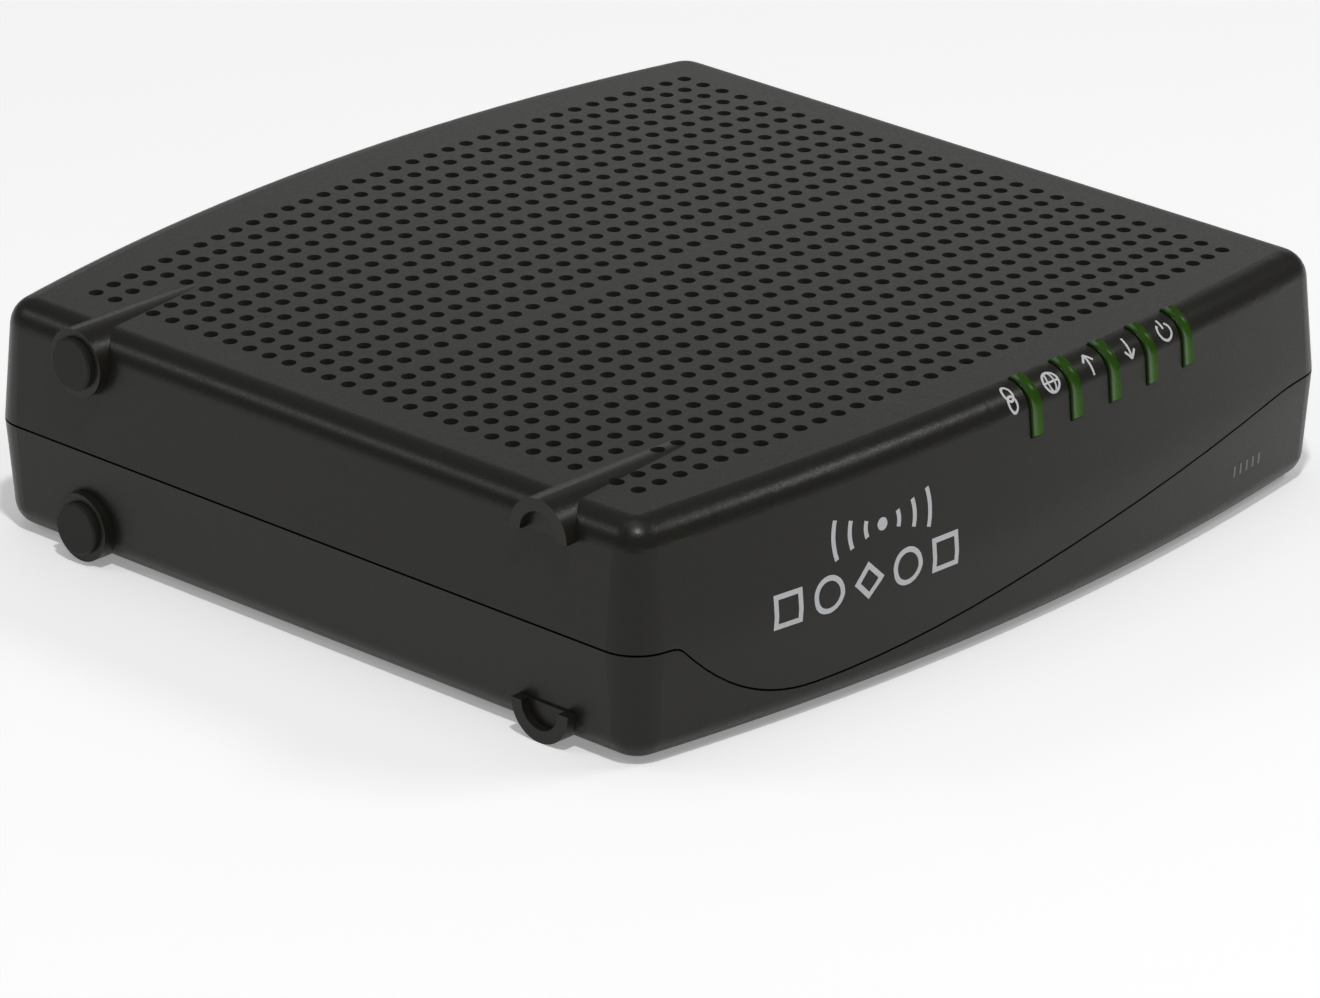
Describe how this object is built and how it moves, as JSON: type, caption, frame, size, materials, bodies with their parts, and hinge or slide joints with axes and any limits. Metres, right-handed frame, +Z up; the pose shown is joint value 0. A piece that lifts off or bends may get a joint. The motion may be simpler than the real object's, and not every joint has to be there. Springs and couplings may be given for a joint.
{
  "type": "cable modem",
  "caption": "Flat broadband cable modem with bowed front and back, a perforated top, status light pipes that wrap over the front edge, side foot rings, and a rear bay of connectors.",
  "frame": {"origin": "on the supporting surface, below the centre of the bounding box, with the modem lying flat", "axes": "+Z up through the perforated face, -Y out of the front with the status lights, +Y out of the connector side, -X towards the side with the foot rings"},
  "size_m": [0.159, 0.1506, 0.0394],
  "materials": {
    "housing_plastic": "fine matt texture",
    "foot_rubber": "matt",
    "light_pipe_clear": "translucent green, smooth",
    "led_lens": "smooth",
    "black_plastic": "moulded",
    "screw_steel": "zinc plated",
    "label_film": "printed film",
    "nickel": "nickel plated",
    "gold_contact": "gold flashed",
    "tin_plate": "tin plated sheet",
    "chip_epoxy": "moulded epoxy",
    "button_plastic": "moulded",
    "insulator_plastic": "moulded",
    "circuit_board": "solder mask",
    "thermal_silicone": "soft",
    "heatsink_metal": "black anodised",
    "capacitor_sleeve": "shrink sleeve",
    "ceramic_chip": "fired"
  },
  "bodies": {
    "modem": {"top_shell": "housing_plastic", "bottom_shell": "housing_plastic", "rear_panel": "housing_plastic", "rubber_foot_upper": "foot_rubber", "rubber_foot_lower": "foot_rubber", "light_pipe_link": "light_pipe_clear", "light_pipe_online": "light_pipe_clear", "light_pipe_upstream": "light_pipe_clear", "light_pipe_downstream": "light_pipe_clear", "light_pipe_power": "light_pipe_clear", "status_leds": "led_lens", "light_shroud": "black_plastic", "power_jack_body": "black_plastic", "ethernet_housing": "black_plastic", "reset_switch": "black_plastic", "shell_screws": "screw_steel", "board_screws": "screw_steel", "rating_label": "label_film", "power_jack_pin": "nickel", "coax_body": "nickel", "power_jack_contact": "gold_contact", "ethernet_contacts": "gold_contact", "coax_contact": "gold_contact", "ethernet_shield": "tin_plate", "tuner_shield_frame": "tin_plate", "tuner_shield_lid": "tin_plate", "crystal": "tin_plate", "ethernet_magnetics": "chip_epoxy", "modem_chip": "chip_epoxy", "tuner_chip": "chip_epoxy", "memory_chip": "chip_epoxy", "flash_chip": "chip_epoxy", "voltage_regulators": "chip_epoxy", "power_inductors": "chip_epoxy", "coax_insulator": "insulator_plastic", "heatsink_pins": "insulator_plastic", "main_board": "circuit_board", "thermal_pad": "thermal_silicone", "heatsink": "heatsink_metal", "electrolytic_capacitors": "capacitor_sleeve", "chip_parts": "ceramic_chip"},
    "reset_button": {"reset_button": "button_plastic"}
  },
  "joints": [
    {"name": "reset_press", "type": "slide", "parent": "modem", "child": "reset_button", "axis": [0, -1, 0], "range_m": [0, 0.0005], "stiffness_N_per_m": 300}
  ]
}
